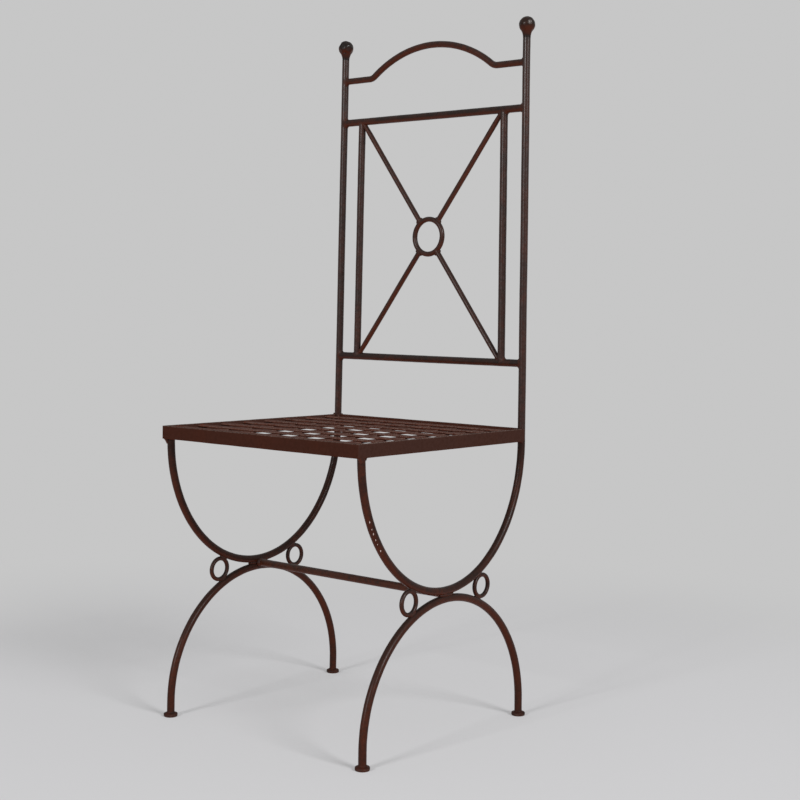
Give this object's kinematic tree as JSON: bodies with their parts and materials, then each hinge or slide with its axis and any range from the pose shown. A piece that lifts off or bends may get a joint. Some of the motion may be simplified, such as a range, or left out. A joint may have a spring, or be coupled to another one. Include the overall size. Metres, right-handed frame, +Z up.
{
  "type": "chair",
  "caption": "Iron garden side chair: welded round bar, tall open back with a ringed cross and an arch, crossed strap seat, arched legs.",
  "frame": {"origin": "on the floor, under the middle of the chair's outer box", "axes": "+Z up; the sitter faces -Y, so the back is at +Y; +X is to the right of someone who stands in front and looks at the chair"},
  "size_m": [0.4192, 0.4097, 1.0975],
  "materials": {
    "bar_iron": "dark red-brown rust patina under wax",
    "seat_frame_iron": "dark red-brown rust patina under wax",
    "strap_iron": "red-brown rust patina, worn paler on top",
    "arch_iron": "dark red-brown rust patina under wax",
    "brace_iron": "dark red-brown rust patina under wax",
    "leg_ring_iron": "dark red-brown rust patina under wax",
    "foot_iron": "dark brown rust patina, worn",
    "finial_iron": "dark brown patina, waxed to a slight shine"
  },
  "bodies": {
    "root": {"seat_bar_front": "seat_frame_iron", "seat_bar_back": "seat_frame_iron", "seat_bar_left": "seat_frame_iron", "seat_bar_right": "seat_frame_iron", "seat_strap_cross_1": "strap_iron", "seat_strap_cross_2": "strap_iron", "seat_strap_cross_3": "strap_iron", "seat_strap_cross_4": "strap_iron", "seat_strap_cross_5": "strap_iron", "seat_strap_cross_6": "strap_iron", "seat_strap_cross_7": "strap_iron", "seat_strap_cross_8": "strap_iron", "seat_strap_long_1": "strap_iron", "seat_strap_long_2": "strap_iron", "seat_strap_long_3": "strap_iron", "seat_strap_long_4": "strap_iron", "seat_strap_long_5": "strap_iron", "seat_strap_long_6": "strap_iron", "leg_arc_upper_left": "bar_iron", "leg_arc_upper_right": "bar_iron", "leg_arc_lower_left": "bar_iron", "leg_arc_lower_right": "bar_iron", "leg_ring_front_left": "leg_ring_iron", "leg_ring_front_right": "leg_ring_iron", "leg_ring_back_left": "leg_ring_iron", "leg_ring_back_right": "leg_ring_iron", "foot_front_left": "foot_iron", "foot_front_right": "foot_iron", "foot_back_left": "foot_iron", "foot_back_right": "foot_iron", "leg_stretcher": "bar_iron", "back_post_left": "bar_iron", "back_post_right": "bar_iron", "finial_left": "finial_iron", "finial_right": "finial_iron", "back_rail_lower": "bar_iron", "back_rail_upper": "bar_iron", "back_upright_left": "bar_iron", "back_upright_right": "bar_iron", "back_brace_lower_left": "brace_iron", "back_brace_lower_right": "brace_iron", "back_brace_upper_left": "brace_iron", "back_brace_upper_right": "brace_iron", "back_ring": "brace_iron", "back_arch": "arch_iron"}
  },
  "joints": []
}
